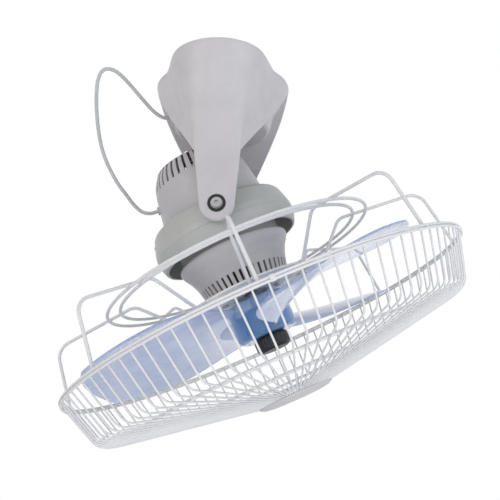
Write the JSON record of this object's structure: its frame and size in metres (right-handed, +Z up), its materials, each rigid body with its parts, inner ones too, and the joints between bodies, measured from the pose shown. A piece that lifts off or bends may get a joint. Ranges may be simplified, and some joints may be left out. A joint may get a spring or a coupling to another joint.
{
  "type": "orbital ceiling fan",
  "caption": "Ceiling fan whose wire-guarded head orbits on a two-axis gimbal, driven by a crank and worm gears, with translucent blades.",
  "frame": {"origin": "centre of the face that meets the ceiling", "axes": "+Z up into the ceiling, the fan hangs towards -Z, the yoke's two arms stand along Y and the head leans with its guard towards +X"},
  "size_m": [0.4355, 0.4598, 0.4032],
  "materials": {
    "white_plastic": "satin moulded",
    "white_wire": "powder coated",
    "steel": "machined",
    "laminations": "stamped sheets",
    "copper": "enamelled wire",
    "bronze": "sintered",
    "nylon": "natural",
    "blue_clear": "translucent moulded",
    "black_plastic": "satin",
    "black_rubber": "matt",
    "cord_grey": "matt sheath"
  },
  "bodies": {
    "mount": {"ceiling_plate": "steel", "yoke": "white_plastic", "yoke_screws": "steel", "crank_socket": "nylon", "terminal_block": "nylon", "canopy_gland": "cord_grey", "pivot_screws": "steel", "pivot_washers": "black_rubber", "cord_upper": "cord_grey"},
    "orbit_ring": {"ring_upper": "white_plastic", "ring_lower": "white_plastic", "ring_screws": "steel", "ring_bushes": "bronze", "cord_lower": "cord_grey"},
    "head": {"front_housing": "white_plastic", "rear_housing": "white_plastic", "gear_cover": "white_plastic", "cover_screws": "steel", "head_pins": "steel", "head_gland": "cord_grey", "stator_core": "laminations", "stator_winding": "copper", "front_bearing": "steel", "rear_bearing": "steel", "gear_plate": "steel", "gear_bridge": "steel", "capacitor": "nylon", "guard_plate": "white_wire", "guard_screws": "steel", "rear_guard_arms": "white_wire", "rear_guard_rings": "white_wire", "rim_clips": "white_wire", "front_guard_spokes": "white_wire", "front_guard_rings": "white_wire", "guard_badge": "white_plastic"},
    "rotor": {"rotor_core": "laminations", "motor_shaft": "steel", "fan_hub": "blue_clear", "fan_blades": "blue_clear", "drive_pin": "steel", "spinner_nut": "black_plastic"},
    "cross_gear": {"worm_wheel": "nylon", "cross_shaft": "steel"},
    "counter_gear": {"second_wheel": "nylon", "counter_shaft": "steel"},
    "crank": {"output_gear": "steel", "crank_arm": "steel", "crank_ball": "steel"}
  },
  "joints": [
    {"name": "ring_tilt", "type": "hinge", "parent": "mount", "child": "orbit_ring", "pos_m": [0, 0, -0.165], "axis": [0, 1, 0], "range_deg": [0, 47], "deforming": ["cord_upper", "cord_lower"]},
    {"name": "head_tilt", "type": "hinge", "parent": "orbit_ring", "child": "head", "pos_m": [0, 0, -0.165], "axis": [0.9171, 0, 0.3987], "range_deg": [-23.5, 23.5], "deforming": ["cord_lower"]},
    {"name": "rotor_spin", "type": "hinge", "parent": "head", "child": "rotor", "pos_m": [0.01994, 0, -0.21085], "axis": [-0.3987, 0, 0.9171], "continuous": true},
    {"name": "cross_spin", "type": "hinge", "parent": "head", "child": "cross_gear", "pos_m": [-0.01236, 0.0205, -0.13657], "axis": [0.9171, 0, 0.3987], "continuous": true},
    {"name": "counter_spin", "type": "hinge", "parent": "head", "child": "counter_gear", "pos_m": [-0.03127, 0.004, -0.14479], "axis": [-0.3987, 0, 0.9171], "continuous": true},
    {"name": "crank_turn", "type": "hinge", "parent": "head", "child": "crank", "pos_m": [-0.02392, 0, -0.10998], "axis": [-0.3987, 0, 0.9171], "continuous": true}
  ],
  "couplings": [
    {"joint": "cross_spin", "follows": "rotor_spin", "ratio": 0.066667},
    {"joint": "counter_spin", "follows": "rotor_spin", "ratio": 0.0055556},
    {"joint": "crank_turn", "follows": "rotor_spin", "ratio": -0.0022222}
  ]
}
